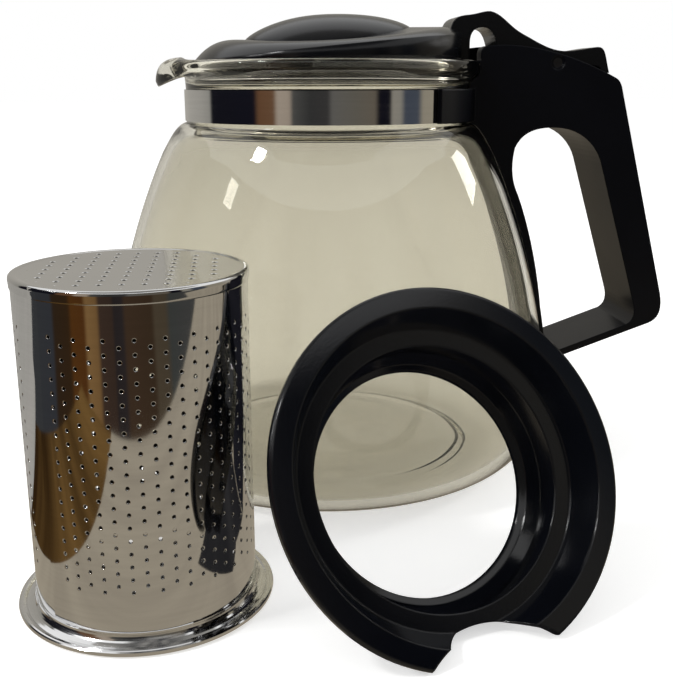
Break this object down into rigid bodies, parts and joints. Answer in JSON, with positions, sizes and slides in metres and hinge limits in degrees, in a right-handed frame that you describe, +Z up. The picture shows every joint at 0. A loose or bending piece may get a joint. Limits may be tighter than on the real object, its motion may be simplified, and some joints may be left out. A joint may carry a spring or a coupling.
{
  "type": "glass teapot with infuser and holder ring",
  "caption": "Clear glass teapot with steel neck band, black handle and hinged lever lid, beside its perforated steel infuser standing upside down and its stepped black holder ring.",
  "frame": {"origin": "the pot's axis on the table, at the level of the glass foot ring", "axes": "+X from the pot's axis to the handle, -X to the spout, +Y away from the infuser and holder ring, +Z up"},
  "size_m": [0.2185, 0.2362, 0.1597],
  "materials": {
    "glass": "clear blown glass, faintly green at the edges",
    "polished_steel": "mirror-polished stainless steel",
    "plain_steel": "plain turned stainless steel",
    "pin_steel": "dark steel pin",
    "infuser_steel": "polished stainless sheet",
    "perforated_steel": "polished stainless sheet with fine round holes",
    "black_plastic": "satin black moulded plastic",
    "lid_plastic": "smooth black moulded plastic",
    "ring_plastic": "glossy black moulded plastic"
  },
  "bodies": {
    "pot": {"glass_base": "glass", "glass_wall": "glass", "glass_neck": "glass", "neck_band": "polished_steel", "handle": "black_plastic", "clamp_block": "plain_steel", "clamp_screw": "plain_steel", "hinge_pin": "pin_steel"},
    "lid": {"lid_cover": "lid_plastic", "lid_knob": "lid_plastic", "lid_liner": "lid_plastic", "lid_lever": "lid_plastic"},
    "infuser": {"infuser_tube": "perforated_steel", "infuser_end": "infuser_steel", "infuser_rim": "infuser_steel"},
    "holder": {"holder_ring": "ring_plastic"}
  },
  "joints": [
    {"name": "lid_hinge", "type": "hinge", "parent": "pot", "child": "lid", "pos_m": [0.0788, 0, 0.1423], "axis": [0, 1, 0], "range_deg": [0, 55]},
    {"name": "infuser_lift", "type": "slide", "parent": "pot", "child": "infuser", "axis": [0, 0, 1], "range_m": [0, 0.16]},
    {"name": "ring_lift", "type": "slide", "parent": "pot", "child": "holder", "axis": [0, 0, 1], "range_m": [0, 0.16]}
  ]
}
